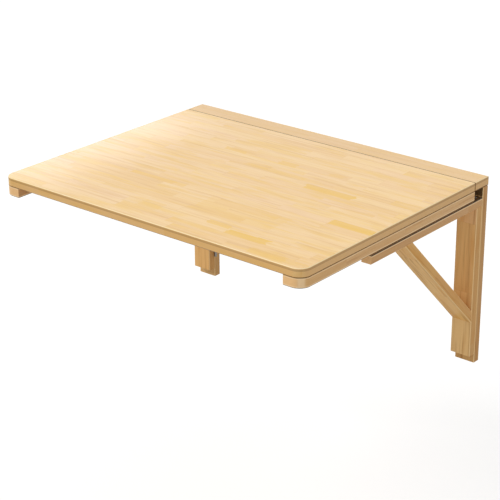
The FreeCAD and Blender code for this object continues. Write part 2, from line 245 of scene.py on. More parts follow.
class Finish:
    """One material or world, with short ways to add and join its nodes."""

    def __init__(self, name, kind="materials"):
        self.owner = getattr(bpy.data, kind).new(name)
        self.owner.use_nodes = True
        self.tree = self.owner.node_tree
        self.tree.nodes.clear()

    def feed(self, socket, value):
        """Links a socket, or sets its value."""
        if isinstance(value, bpy.types.NodeSocket):
            self.tree.links.new(value, socket)
        else:
            socket.default_value = value

    def node(self, kind, inputs=None, **settings):
        """New node of a kind, with its settings and what goes into its inputs."""
        made = self.tree.nodes.new("ShaderNode" + kind)
        for key, value in settings.items():
            setattr(made, key, value)
        for key, value in (inputs or {}).items():
            self.feed(made.inputs[key], value)
        return made

    def math(self, operation, *values):
        """Result of one sum on numbers or sockets."""
        made = self.node("Math", operation=operation)
        for socket, value in zip(made.inputs, values):
            self.feed(socket, value)
        return made.outputs[0]

    def ramp(self, value, low, high, start=0.0, end=1.0):
        """Smooth step of a value: start below low, end above high."""
        made = self.node("MapRange", {"Value": value, "From Min": low, "From Max": high,
                                      "To Min": start, "To Max": end},
                         interpolation_type="SMOOTHSTEP")
        return made.outputs["Result"]

    def between(self, value, rise, fall):
        """1 where a value lies between two bands, with a smooth step over each of them."""
        return self.math("MULTIPLY", self.ramp(value, *rise), self.ramp(value, *fall, 1.0, 0.0))

    def blend(self, share, first, second):
        """Colour between two colours by a share."""
        made = self.node("Mix", data_type="RGBA")
        for index, value in zip(MIX_INPUTS, (share, first, second)):
            self.feed(made.inputs[index], value)
        return made.outputs[MIX_OUTPUT]

    def cover(self, share, most, colour, tone):
        """Colour with a tone over it, by a share times the most that the tone covers."""
        return self.blend(self.math("MULTIPLY", share, most), colour, linear(tone))

    def layered(self, colour, *layers):
        """Colour with layers over it: a value, where it starts and is full, its most, and its tone."""
        for value, low, high, most, tone in layers:
            colour = self.blend(self.ramp(value, low, high, 0.0, most), colour, linear(tone))
        return colour

    def vector(self, x, y, z):
        """Vector of three numbers or sockets."""
        return self.node("CombineXYZ", {"X": x, "Y": y, "Z": z}).outputs["Vector"]

    def noise(self, place, scales, shift, detail=2.0):
        """Noise from 0 to 1 whose scale differs along the three axes, per metre."""
        stretched = self.node("VectorMath", {0: place, 1: scales}, operation="MULTIPLY")
        made = self.node("TexNoise", {"Vector": stretched.outputs[0], "W": shift, "Scale": 1.0,
                                      "Detail": detail}, noise_dimensions="4D")
        return made.outputs["Fac"]

    def surface(self, colour, roughness, height, bump, **sockets):
        """Shader of the material, with a bump from a height that is given in metres."""
        normal = self.node("Bump", {"Height": height, "Distance": bump, "Strength": 1.0})
        shader = self.node("BsdfPrincipled", {"Base Color": colour, "Roughness": roughness,
                                              "Normal": normal.outputs["Normal"]})
        for key, value in sockets.items():
            self.feed(shader.inputs[key.replace("_", " ")], value)
        self.node("OutputMaterial", {"Surface": shader.outputs[0]})
        return self.owner


BRACE_TURN = math.radians(45)
GRAIN_AXES = {"wall": (0, 1, 2), "room": (1, 0, 2), "upright": (2, 0, 1), "slanted": (1, 0, 2)}
GLUE_LINE = 0.0005
LONG_WAVE = 0.37
WAVE_SHARE = 0.30
ROW_SHIFT = 17.3

# How far a surface faces one way, at which a level face, an end or an edge starts and is full
LEVEL_BAND = (0.85, 0.97)
END_BAND = (0.80, 0.95)
# Bands of the board's painted highlight on its upper edge, and of its painted shade on the lip under it and
# on its lower edge.
UPPER_EDGE_HIGHLIGHT = ((0.35, 0.60), (0.90, 0.985))
LIP_SHADE = ((0.01, 0.08), (0.25, 0.40))
LOWER_EDGE_SHADE = ((0.20, 0.50), (0.85, 0.97))


def grain_place(finish, grain, output):
    """Object place or normal as three numbers: along the grain, across it and through the board."""
    value = finish.node("TexCoord").outputs[output]
    if grain == "slanted":
        turned = finish.node("Mapping", {"Vector": value, "Rotation": (BRACE_TURN, 0.0, 0.0)})
        value = turned.outputs["Vector"]
    parts = finish.node("SeparateXYZ", {"Vector": value}).outputs
    return [parts[index] for index in GRAIN_AXES[grain]]


def staves(finish, look, along, across, seed):
    """Random number of the stave at each place, and the share of the glue line there.

    The row is the whole part of across / width. Each row has its own random shift. The piece is the whole
    part of along / length, plus the shift, plus a slow sine wave that makes the lengths uneven. A glue line
    lies where either number is near a whole one.
    """
    row_place = finish.math("DIVIDE", across, look.stave_width)
    row = finish.math("FLOOR", row_place)
    shift = finish.node("TexWhiteNoise", {"W": finish.math("ADD", row, seed)},
                        noise_dimensions="1D").outputs["Value"]
    shift = finish.math("MULTIPLY", shift, ROW_SHIFT)
    steps = finish.math("DIVIDE", along, look.stave_length)
    wave = finish.math("SINE", finish.math("MULTIPLY_ADD", steps, 2 * math.pi * LONG_WAVE, shift))
    piece_place = finish.math("MULTIPLY_ADD", wave, WAVE_SHARE, finish.math("ADD", steps, shift))
    piece = finish.math("FLOOR", piece_place)
    chance = finish.node("TexWhiteNoise", {"Vector": finish.vector(row, piece, seed)},
                         noise_dimensions="3D").outputs["Value"]
    lines = []
    for number, span in ((row_place, look.stave_width), (piece_place, look.stave_length)):
        gap = finish.math("MULTIPLY", finish.math("PINGPONG", number, 0.5), span)
        lines.append(finish.ramp(gap, 0.0, GLUE_LINE, 1.0, 0.0))
    return chance, finish.math("MAXIMUM", *lines)


def edge_highlights(finish, facing):
    """Share of the painted highlight on a member's bevelled edges: no axis is close to the surface's own
    direction there.
    """
    sides = [finish.math("ABSOLUTE", part) for part in facing]
    flattest = finish.math("MAXIMUM", finish.math("MAXIMUM", sides[0], sides[1]), sides[2])
    return finish.ramp(flattest, *END_BAND, 1.0, 0.0)


def board_edges(finish, up):
    """Shares of the painted highlight on a board's upper edge and of the painted shade on its lip and lower
    edge, by how far it faces up.
    """
    lower = finish.between(finish.math("MULTIPLY", up, -1.0), *LOWER_EDGE_SHADE)
    return finish.between(up, *UPPER_EDGE_HIGHLIGHT), finish.math("MAXIMUM", finish.between(up, *LIP_SHADE), lower)


# Random number of a stave from which it has each of its look's tones
STAVE_TONES = ((0.0, "peach"), (0.22, "pale"), (0.60, "pale"), (0.80, "warm"))
NEW_STOP = 0.5


def stave_tone(finish, look, chance):
    """Colour of a stave from its random number: peach, pale, or warm."""
    tone = finish.node("ValToRGB", {"Fac": chance})
    elements = tone.color_ramp.elements
    while len(elements) < len(STAVE_TONES):
        elements.new(NEW_STOP)
    for element, (position, name) in zip(elements, STAVE_TONES):
        element.position = position
        element.color = linear(getattr(look, name))
    return tone.outputs["Color"]


# Yellow staves of the leaf: middle along the wall and off it, length, width and strength
YELLOW_STAVES = (
    (0.183, -0.268, 0.113, 0.023, 1.0),
    (0.330, -0.388, 0.110, 0.022, 1.0),
    (0.127, -0.526, 0.055, 0.017, 0.8),
    (0.203, -0.542, 0.092, 0.019, 1.0),
    (0.285, -0.583, 0.080, 0.022, 0.6),
    (-0.138, -0.417, 0.113, 0.014, 0.7),
    (-0.268, -0.420, 0.125, 0.010, 0.4),
    (-0.115, -0.194, 0.060, 0.016, 0.6),
    (0.023, -0.194, 0.045, 0.020, 0.6),
    (0.143, -0.187, 0.036, 0.012, 0.4),
    (0.030, -0.243, 0.150, 0.015, 0.35),
    (0.120, -0.460, 0.190, 0.072, 0.30),
    (-0.040, -0.533, 0.050, 0.034, 0.4),
)
STAVE_SOFTNESS = 0.001
YELLOW_WAVE = (0.030, 0.012)
YELLOW_FADE = (0.3, 0.7, 1.0, 0.6)
NOISE_MIDDLE = 0.5
LEDGE_SHARE = 0.6
SEAM_SHARE = 0.75


def yellow_staves(finish, place):
    """Share of the leaf's yellow staves. Each is a rectangle whose sides are soft over a short way."""
    shown = 0.0
    for x, y, length, width, strength in YELLOW_STAVES:
        off = finish.node("VectorMath", {0: place, 1: (x, y, 0.0)}, operation="SUBTRACT").outputs[0]
        off = finish.node("VectorMath", {0: off}, operation="ABSOLUTE").outputs[0]
        off = finish.node("VectorMath", {0: off, 1: (length / 2, width / 2, 0.0)},
                          operation="SUBTRACT").outputs[0]
        parts = finish.node("SeparateXYZ", {"Vector": off}).outputs
        beyond = finish.math("MAXIMUM", parts["X"], parts["Y"])
        window = finish.ramp(beyond, -STAVE_SOFTNESS, STAVE_SOFTNESS, strength, 0.0)
        shown = finish.math("MAXIMUM", window, shown)
    return shown


def seam_place():
    """Middle of the seam between the ledge and the leaf, along y."""
    return (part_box("wall_ledge")[0].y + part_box("leaf_panel")[1].y) / 2


def board_staves(finish, look, axes, level, streaks, colour):
    """Colour with the ledge's darker tone, partly its own wood and partly painted reflection (the darker
    mirror image along the wall), and, on the level faces, the yellow staves with wavy sides.
    """
    along, across, through = axes
    seam = seam_place()
    # The ledge's darker tone: partly its own wood, partly painted reflection, the darker mirror image along
    # the wall.
    colour = finish.layered(colour, (across, seam, seam + STAVE_SOFTNESS, LEDGE_SHARE, look.ledge))
    wave = finish.math("SUBTRACT", streaks, NOISE_MIDDLE)
    along, across = (finish.math("MULTIPLY_ADD", wave, reach, part)
                     for reach, part in zip(YELLOW_WAVE, (along, across)))
    yellow = finish.math("MULTIPLY", yellow_staves(finish, finish.vector(along, across, through)),
                         finish.ramp(streaks, *YELLOW_FADE))
    return finish.cover(yellow, level, colour, look.yellow)


def board_seam(finish, look, across):
    """Share of the dark line over the seam between the ledge and the leaf."""
    gap = finish.math("ABSOLUTE", finish.math("SUBTRACT", across, seam_place()))
    half = look.seam_width / 2
    return finish.ramp(gap, half, half + STAVE_SOFTNESS / 2, SEAM_SHARE, 0.0)


LINE_SOFTNESS = 0.0004

# Level lines of a face: height over it, half width, the look's colour and strength
# Painted shade: a dark band under the top's rounded edge.
BOARD_TOP_LINES = ((-0.0040, 0.0018, "joint", 0.30),)
# Dark line at the board's foot: the seam where it sits on the battens, and painted shade along the rest of
# its lower edge.
BOARD_FOOT_LINES = ((0.0, 0.0012, "joint", 0.85),)
# Dark line where the batten meets the board, and a painted highlight just under it.
BATTEN_TOP_LINES = ((0.0, 0.0006, "joint", 0.55), (-0.0018, 0.0008, "edge", 0.60))
# A painted highlight above the batten's lower edge, and painted shade at that edge, in the gap over the arm.
BATTEN_FOOT_LINES = ((0.0027, 0.0009, "edge", 0.60), (0.0, 0.0013, "joint", 0.95))
# Painted shade at the arm's upper edge, in the gap under the batten, and a painted highlight just under it.
ARM_TOP_LINES = ((0.0, 0.0013, "joint", 0.95), (-0.0027, 0.0009, "edge", 0.60))


def lines_at(face, lines):
    """Level lines of a face that lies at a height."""
    return [(face + over, *rest) for over, *rest in lines]


def level_lines(finish, look, height, level, lines, colour):
    """Colour with lines that run level round the upright faces: dark seams, painted shade and painted
    highlights.

    Each line is its height, half its width, the name of its colour and its strength.
    """
    upright = finish.math("SUBTRACT", 1.0, level)
    for middle, half, tone, strength in lines:
        gap = finish.math("ABSOLUTE", finish.math("SUBTRACT", height, middle))
        share = finish.ramp(gap, half, half + LINE_SOFTNESS, strength, 0.0)
        colour = finish.cover(share, upright, colour, getattr(look, tone))
    return colour


# Noises of the grain, from broad to pores: scales per metre along, across and through, and detail
GRAIN_NOISES = (
    ((3.0, 26.0, 26.0), 2.0),
    ((9.0, 60.0, 60.0), 3.0),
    ((6.0, 190.0, 190.0), 4.0),
    ((30.0, 1400.0, 1400.0), 2.0),
    ((140.0, 2600.0, 2600.0), 2.0),
)
RING_BEND = 26.0
RING_PITCH = 240.0
SIDE_SEED = 3.7
STAVE_SHIFT = 37.0

# Where each layer of the grain starts and is full, and the most that the fine ones cover
BROAD_BAND = (0.35, 0.70)
BOARD_PATCHES = (0.45, 0.65)
MEMBER_PATCHES = (0.52, 0.72)
STREAK_BAND = (0.50, 0.72)
RING_LAYER = (0.2, 1.0, 0.13)
FIBRE_LAYER = (0.30, 0.70, 0.16)
PORE_LAYER = (0.66, 0.80, 0.45)

SIDE_SHARE = 0.50
SIDE_COAT = 0.04
END_SHARE = 0.80
GLUE_SHARE = 0.35
EDGE_SHADE_SHARE = 0.55
EDGE_HIGHLIGHT_SHARE = 0.75
POCKET_SHADE_SHARE = 0.80
POCKET_SHADE_SOFTNESS = 0.003
WOOD_ROUGHNESS = (0.30, 0.80, 0.34, 0.48)
FIBRE_HEIGHT = 0.5
GLUE_HEIGHT = -0.6
WOOD_BUMP = 0.00004


def wood(name, look, grain, seed, inner=None, board=False, lines=(), figure=1.0, pocket=None,
         tint=None):
    """Lacquered wood with staves, grain streaks, fine fibres, pores, end grain, and painted highlights on its
    edges.

    inner is the distance from the middle of the wall to a member's inner side: the staves then start there
    and each side has its own. board makes the edges those of a flat board instead of a member's. lines are
    level lines round the piece, as level_lines takes them: dark seams, painted shade and painted highlights.
    figure is the share of the look's patches and streaks that this piece shows. pocket is where, along the
    grain, the painted shade in the pocket under the ledge starts, and 1 or -1 for the side that the face in
    it looks to. tint is a colour that this piece leans to.
    """
    finish = Finish(name)
    along, across, through = grain_place(finish, grain, "Object")
    if inner is not None:
        side = finish.math("SIGN", across)
        across = finish.math("SUBTRACT", finish.math("ABSOLUTE", across), inner)
        seed = finish.math("MULTIPLY_ADD", side, SIDE_SEED, seed)
    chance, glue = staves(finish, look, along, across, seed)
    shift = finish.math("MULTIPLY", chance, STAVE_SHIFT)
    place = finish.vector(along, across, through)
    broad, patches, streaks, fibres, pores = [finish.noise(place, scales, shift, detail)
                                              for scales, detail in GRAIN_NOISES]
    rings = finish.math("SINE", finish.math("MULTIPLY_ADD", broad, RING_BEND,
                                            finish.math("MULTIPLY", across, RING_PITCH)))

    spread = figure * look.patches
    cloud, patch_band = (look.peach, BOARD_PATCHES) if board else (look.warm, MEMBER_PATCHES)
    colour = finish.layered(stave_tone(finish, look, chance),
                            (broad, *BROAD_BAND, spread, cloud),
                            (patches, *patch_band, spread, look.yellow))
    if tint:
        colour = finish.blend(look.tinting, colour, linear(tint))
    colour = finish.layered(colour,
                            (streaks, *STREAK_BAND, figure * look.streaking, look.streak),
                            (rings, *RING_LAYER, look.streak),
                            (fibres, *FIBRE_LAYER, look.edge),
                            (pores, *PORE_LAYER, look.streak))

    facing = grain_place(finish, grain, "Normal")
    level = finish.ramp(finish.math("ABSOLUTE", facing[2]), *LEVEL_BAND)
    ends = finish.ramp(finish.math("ABSOLUTE", facing[0]), *END_BAND)
    coat = look.lacquer
    if board:
        colour = board_staves(finish, look, (along, across, through), level, streaks, colour)
        colour = finish.blend(finish.math("MULTIPLY_ADD", level, -SIDE_SHARE, SIDE_SHARE), colour,
                              linear(look.side))
        seam = finish.math("MULTIPLY", board_seam(finish, look, across),
                           finish.math("SUBTRACT", 1.0, ends))
        coat = finish.math("MULTIPLY", finish.ramp(facing[2], *LEVEL_BAND, SIDE_COAT, look.lacquer),
                           finish.math("SUBTRACT", 1.0, seam))
    colour = finish.cover(ends, END_SHARE, colour, look.end)
    colour = finish.cover(glue, GLUE_SHARE, colour, look.streak)
    if board:
        # Painted highlight on the board's upper edge, painted shade on its lip and lower edge.
        edge_highlight, edge_shade = board_edges(finish, facing[2])
        colour = finish.cover(edge_shade, EDGE_SHADE_SHARE, colour, look.streak)
    else:
        edge_highlight = edge_highlights(finish, facing)
    # Painted highlight on the bevelled edges.
    colour = finish.cover(edge_highlight, EDGE_HIGHLIGHT_SHARE, colour, look.edge)
    if board:
        colour = finish.blend(seam, colour, linear(look.joint))
    # Level lines: dark seams, painted shade and painted highlights.
    colour = level_lines(finish, look, through, level, lines, colour)
    # Painted shade in the pocket under the ledge.
    if pocket:
        start, faces_to = pocket
        colour = finish.cover(finish.ramp(along, start, start + POCKET_SHADE_SOFTNESS, 0.0, POCKET_SHADE_SHARE),
                              finish.ramp(finish.math("MULTIPLY", facing[2], faces_to), *LEVEL_BAND),
                              colour, look.joint)

    height = finish.math("ADD", finish.math("MULTIPLY", fibres, FIBRE_HEIGHT),
                         finish.math("MULTIPLY", glue, GLUE_HEIGHT))
    return finish.surface(colour, finish.ramp(streaks, *WOOD_ROUGHNESS), height, WOOD_BUMP,
                          Coat_Weight=coat, Coat_Roughness=look.lacquer_roughness,
                          Specular_IOR_Level=look.gloss)


# Noises of steel and felt: scales per metre along x, y and z, the noise's own shift, and detail
LEAF_BRUSH = (120.0, 1800.0, 1800.0)
BRACKET_BRUSH = (1800.0, 1800.0, 120.0)
PIN_BRUSH = (900.0, 900.0, 900.0)
PLATE_CLOUDS = ((90.0, 90.0, 90.0), 4.0, 3.0)
PLATE_SPOTS = ((700.0, 700.0, 700.0), 9.0)
SCREW_CLOUDS = ((600.0, 600.0, 600.0), 2.0, 3.0)
FELT_FIBRES = ((2400.0, 900.0, 2400.0), 1.0, 4.0)
FELT_MATS = ((500.0, 500.0, 500.0), 5.0, 3.0)

# Where each layer starts and is full, and the most that it covers or the values it runs between
SPOT_BAND = (0.62, 0.80)
PLATE_LAYER = (0.2, 0.6, 0.35)
SCREW_LAYER = (0.3, 0.7, 0.3)
FLECK_LAYER = (0.45, 0.75, 0.7)
SCREW_ROUGHNESS = (0.2, 0.8, 0.24, 0.40)
FELT_ROUGHNESS = (0.2, 0.8, 0.85, 1.0)

CLOUD_SHARE = 0.5
MARK_SHARE = 0.3
PLATE_DIM = 0.78
MARK_ROUGHNESS = 0.16
SPOT_ROUGHNESS = 0.15
SCREW_DIM = 0.80
# Painted shade in the screws' cross recesses: its most share and its tone.
RECESS_SHADE_SHARE = 0.75
RECESS_SHADE_TONE = (0.16, 0.16, 0.16)
RECESS_ROUGHNESS = 0.3
METAL_BUMP = 0.00001
FELT_BUMP = 0.00015


def plated_steel(name, look, colour, brush):
    """Zinc plated steel: fine brush marks, along an axis on a plate, faint clouds and small dull spots."""
    finish = Finish(name)
    place = finish.node("TexCoord").outputs["Object"]
    marks = finish.noise(place, brush, shift=0.0, detail=3.0)
    clouds = finish.noise(place, *PLATE_CLOUDS)
    spots = finish.ramp(finish.noise(place, *PLATE_SPOTS), *SPOT_BAND)
    shade = finish.math("MULTIPLY_ADD", clouds, CLOUD_SHARE, finish.math("MULTIPLY", marks, MARK_SHARE))
    seen = finish.layered(linear(colour), (shade, *PLATE_LAYER, [PLATE_DIM * part for part in colour]))
    rough = finish.math("MULTIPLY_ADD", marks, MARK_ROUGHNESS, look.roughness - MARK_ROUGHNESS / 2)
    rough = finish.math("MULTIPLY_ADD", spots, SPOT_ROUGHNESS, rough)
    return finish.surface(seen, rough, marks, METAL_BUMP, Metallic=1.0)


def screw_steel(name, look):
    """Zinc plated screw: painted shade in the cross recess, and faint clouds on the head."""
    finish = Finish(name)
    recess = finish.node("Attribute", attribute_name="recess").outputs["Fac"]
    clouds = finish.noise(finish.node("TexCoord").outputs["Object"], *SCREW_CLOUDS)
    seen = finish.layered(linear(look.screw),
                          (clouds, *SCREW_LAYER, [SCREW_DIM * part for part in look.screw]))
    # Painted shade in the cross recess.
    seen = finish.cover(recess, RECESS_SHADE_SHARE, seen, RECESS_SHADE_TONE)
    rough = finish.math("MULTIPLY_ADD", recess, RECESS_ROUGHNESS, finish.ramp(clouds, *SCREW_ROUGHNESS))
    return finish.surface(seen, rough, clouds, METAL_BUMP, Metallic=1.0)


def felt(look):
    """Pressed felt: matted fibres of two tones with a soft sheen."""
    finish = Finish("pressed_felt")
    place = finish.node("TexCoord").outputs["Object"]
    fibres = finish.noise(place, *FELT_FIBRES)
    mats = finish.noise(place, *FELT_MATS)
    seen = finish.layered(linear(look.colour), (fibres, *FLECK_LAYER, look.fleck))
    height = finish.math("ADD", fibres, mats)
    return finish.surface(seen, finish.ramp(mats, *FELT_ROUGHNESS), height, FELT_BUMP,
                          Sheen_Weight=0.4, Sheen_Roughness=0.5)


def dress(material, *names):
    """Gives nodes of the frame their finish."""
    for name in names:
        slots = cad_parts[name].material_slots
        if not slots:
            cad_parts[name].data.materials.append(material)
        for slot in slots:
            slot.material = material


# ---- new surfaces

def lattice(rings, around):
    """Four corner indices of each face of a grid of rings that closes on itself round the axis."""
    ring, step = np.meshgrid(np.arange(rings - 1), np.arange(around), indexing="ij")
    after = (step + 1) % around
    corners = [ring * around + step, ring * around + after,
               (ring + 1) * around + after, (ring + 1) * around + step]
    return np.stack(corners, axis=-1).reshape(-1, 4)


def copies(points, faces, places, bases):
    """Points and faces of one shape repeated: each copy is its base times the points, plus its place."""
    moved = np.einsum("cij,vj->cvi", np.asarray(bases), points) + np.asarray(places)[:, None, :]
    starts = np.arange(len(places))[:, None, None] * len(points)
    return moved.reshape(-1, 3), (faces[None] + starts).reshape(-1, faces.shape[1])


def piece(name, body, slot, points, faces, material, values=None, sharp=35.0):
    """New piece from points and faces, with its poles merged and its faces turned outwards."""
    mesh = bpy.data.meshes.new(name)
    mesh.from_pydata(points.tolist(), [], faces.tolist())
    if values is not None:
        mesh.attributes.new("recess", "FLOAT", "POINT").data.foreach_set("value", values)
    work = bmesh.new()
    work.from_mesh(mesh)
    bmesh.ops.remove_doubles(work, verts=work.verts, dist=1e-8)
    bmesh.ops.recalc_face_normals(work, faces=work.faces)
    work.to_mesh(mesh)
    work.free()
    mesh.shade_smooth()
    mesh.set_sharp_from_angle(angle=math.radians(sharp))
    mesh.materials.append(material)
    made = bpy.data.objects.new(name, mesh)
    bpy.context.scene.collection.objects.link(made)
    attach(made, body)
    return made


HEAD_AROUND = 32
HEAD_RINGS = (0.0, 0.10, 0.20, 0.30, 0.40, 0.50, 0.60, 0.72, 0.86, 0.96, 1.0)
RECESS_HALF = 0.15
RECESS_REACH = 0.58
RECESS_DEPTH = 0.32
RECESS_SOFTNESS = 0.4
RIM_DROP = 0.15
RIM_EDGE = 0.02
CONE_DEPTH = 0.6
SCREW_TURN = 2.4


def screw_head(radius, proud):
    """Points, faces and recess shares of one countersunk head that points along +z from its face.

    Across the head the surface is a shallow dome, proud * (1 - drop * r^4), less the cross recess. The recess
    is the larger of two bars, each a smooth step in one direction across its half width and in the other
    along its reach. Under the rim a cone closes to a point.
    """
    share, turn = np.meshgrid(HEAD_RINGS, np.arange(HEAD_AROUND) * 2 * math.pi / HEAD_AROUND,
                              indexing="ij")
    x, y = share * np.cos(turn), share * np.sin(turn)

    def inside(value, limit):
        edge = np.clip((limit - np.abs(value)) / (RECESS_SOFTNESS * limit) + 0.5, 0.0, 1.0)
        return edge * edge * (3 - 2 * edge)

    cross = np.maximum(inside(x, RECESS_HALF) * inside(y, RECESS_REACH),
                       inside(y, RECESS_HALF) * inside(x, RECESS_REACH))
    z = proud * (1 - RIM_DROP * share ** 4) - RECESS_DEPTH * radius * cross
    crown = np.stack([x * radius, y * radius, z], axis=-1).reshape(-1, 3)
    rim = crown[-HEAD_AROUND:] * (1.0, 1.0, 0.0)
    tip = np.tile((0.0, 0.0, -CONE_DEPTH * radius), (HEAD_AROUND, 1))
    points = np.concatenate([crown, rim - (0.0, 0.0, RIM_EDGE * radius), tip])
    values = np.concatenate([cross.reshape(-1), np.zeros(2 * HEAD_AROUND)])
    return points, lattice(len(HEAD_RINGS) + 2, HEAD_AROUND), values


def screw_bases(axis, turns):
    """Rotations that turn +z onto an axis, each with its own turn about it."""
    lay = Vector((0.0, 0.0, 1.0)).rotation_difference(Vector(axis)).to_matrix()
    return [np.array(lay @ Matrix.Rotation(turn, 3, "Z")) for turn in turns]


def screws(name, body, places, axis, radius, proud, material):
    """Group of like screws that ride on one body. Each is turned by the same angle from the last."""
    points, faces, values = screw_head(radius, proud)
    bases = screw_bases(axis, [SCREW_TURN * index for index in range(len(places))])
    points, faces = copies(points, faces, places, bases)
    piece(name, body, "hinge_plates", points, faces, material, np.tile(values, len(places)))


PAD_AROUND = 48
PAD_RINGS = 17
PAD_SQUARENESS = 0.22
PAD_POLE = 1e-9


def pad_surface(low, high, crown):
    """Points and faces of one felt pad that fills a box.

    It is a superellipsoid: each cosine and sine is raised to a small power with its sign kept, which gives
    a block with rounded corners and edges, and its upper face rises by the crown towards the middle.
    """
    tilt = np.linspace(-math.pi / 2, math.pi / 2, PAD_RINGS)[:, None]
    turn = (np.arange(PAD_AROUND) * 2 * math.pi / PAD_AROUND)[None, :]

    def power(value):
        return np.sign(value) * np.abs(value) ** PAD_SQUARENESS

    ring = power(np.where(np.abs(np.cos(tilt)) < PAD_POLE, 0.0, np.cos(tilt)))
    unit = np.stack([ring * power(np.cos(turn)), ring * power(np.sin(turn)),
                     power(np.sin(tilt)) * np.ones_like(turn)], axis=-1)
    middle, half = (np.array(high) + low) / 2, (np.array(high) - low) / 2
    points = middle + unit * half
    reach = np.clip(np.hypot(unit[..., 0], unit[..., 1]), 0.0, 1.0)
    points[..., 2] -= np.where(unit[..., 2] > 0, crown * reach ** 2, 0.0)
    return points.reshape(-1, 3), lattice(PAD_RINGS, PAD_AROUND)


# ---- operators

class TABLE_OT_top_boards(bpy.types.Operator):
    """Finish the ledge and the leaf as one glued up board"""
    bl_idname = "table.top_boards"
    bl_label = "Top Boards"

    def execute(self, context):
        look = context.scene.table_board_wood
        low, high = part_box("leaf_panel")
        # Painted shade under the rounded top edge, and a dark line at the foot: the seam on the battens, with
        # painted shade elsewhere.
        lines = lines_at(high.z, BOARD_TOP_LINES) + lines_at(low.z, BOARD_FOOT_LINES)
        dress(wood("board_wood", look, "wall", seed=2.31, board=True, lines=lines),
              "wall_ledge", "leaf_panel")
        return {"FINISHED"}


class TABLE_OT_battens(bpy.types.Operator):
    """Finish the battens under the leaf's ends"""
    bl_idname = "table.battens"
    bl_label = "Battens"

    def execute(self, context):
        look = context.scene.table_batten_wood
        low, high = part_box("batten_right")
        # A dark line under the board and painted shade in the gap over the arm, each with a painted highlight
        # beside it.
        lines = lines_at(high.z, BATTEN_TOP_LINES) + lines_at(low.z, BATTEN_FOOT_LINES)
        dress(wood("batten_wood", look, "room", seed=5.17, inner=low.x, lines=lines),
              "batten_left", "batten_right")
        return {"FINISHED"}


STILE_FIGURE = 0.6


class TABLE_OT_frame_wood(bpy.types.Operator):
    """Finish the rail, the posts and the swinging brackets, with the grain along each member"""
    bl_idname = "table.frame_wood"
    bl_label = "Frame and Brackets"

    def execute(self, context):
        look = context.scene.table_frame_wood
        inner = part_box("wall_post_right")[0].x
        arm_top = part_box("bracket_arm_right")[1].z
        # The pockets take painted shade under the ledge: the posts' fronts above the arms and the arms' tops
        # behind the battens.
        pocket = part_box("batten_right")[1].y
        dress(wood("rail_wood", look, "wall", seed=7.43), "wall_rail")
        for stem, wood_look, grain, seed, more in (
                ("wall_post", look, "upright", 11.29, {"pocket": (arm_top, -1), "tint": look.post}),
                ("bracket_stile", look, "upright", 13.61, {"figure": STILE_FIGURE}),
                ("bracket_arm", context.scene.table_batten_wood, "room", 17.83,
                 {"lines": lines_at(arm_top, ARM_TOP_LINES), "pocket": (pocket, 1)}),
                ("bracket_brace", look, "slanted", 19.07, {"tint": look.brace})):
            dress(wood(stem + "_wood", wood_look, grain, seed, inner, **more),
                  *[stem + "_" + side for side, _ in SIDES])
        return {"FINISHED"}


class TABLE_OT_hinges(bpy.types.Operator):
    """Finish the plates and pins of the leaf hinges and bracket hinges"""
    bl_idname = "table.hinges"
    bl_label = "Hinges"

    def execute(self, context):
        look = context.scene.table_metal
        leaf_plate = plated_steel("leaf_plate_steel", look, look.plate, LEAF_BRUSH)
        bracket_plate = plated_steel("bracket_plate_steel", look, look.plate, BRACKET_BRUSH)
        pin = plated_steel("pin_steel", look, look.pin, PIN_BRUSH)
        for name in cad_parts:
            if "_pin_" in name:
                dress(pin, name)
            elif name.startswith("leaf_hinge"):
                dress(leaf_plate, name)
            elif name.startswith("bracket_hinge"):
                dress(bracket_plate, name)
        return {"FINISHED"}


class TABLE_OT_rest_pads(bpy.types.Operator):
    """Make the felt pads that the battens rest on"""
    bl_idname = "table.rest_pads"
    bl_label = "Rest Pads"

    def execute(self, context):
        look = context.scene.table_felt
        material = felt(look)
        for side, _ in SIDES:
            node = "rest_pads_" + side
            low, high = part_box(node)
            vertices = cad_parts[node].data.vertices
            corners = np.empty(3 * len(vertices), dtype=np.float32)
            vertices.foreach_get("co", corners)
            corners = corners.astype(float).reshape(-1, 3)
            front = corners[:, 1] < (low.y + high.y) / 2
            shapes = [pad_surface(own.min(axis=0), own.max(axis=0), look.crown)
                      for own in (corners[front], corners[~front])]
            points = np.concatenate([shape[0] for shape in shapes])
            faces = np.concatenate([shape[1] + index * len(shapes[0][0])
                                    for index, shape in enumerate(shapes)])
            made = piece("felt_pads_" + side, side + "_bracket", "rest_pads", points, faces, material,
                         sharp=60.0)
            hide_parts(node)
        return {"FINISHED"}


UP = (0.0, 0.0, 1.0)
DOWN = (0.0, 0.0, -1.0)

# Thickness of the plates, and places of the screws on their faces
LEAF_PLATE = 0.002
BRACKET_PLATE = 0.0014
LEAF_HINGE_SPREAD = 0.016
FIXED_INSET = 0.008
FIXED_STAGGER = 0.006
MOVING_INSET = 0.012
MOVING_STAGGER = 0.012
BATTEN_SCREWS = 4
BATTEN_BACK_INSET = 0.025
BATTEN_FRONT_INSET = 0.035
ARM_SPREAD = 0.012
STILE_SPREAD = 0.011
BRACE_INSET = 0.013
BRACKET_HINGE_INSET = 0.009
BRACKET_HINGE_SPREAD = 0.013


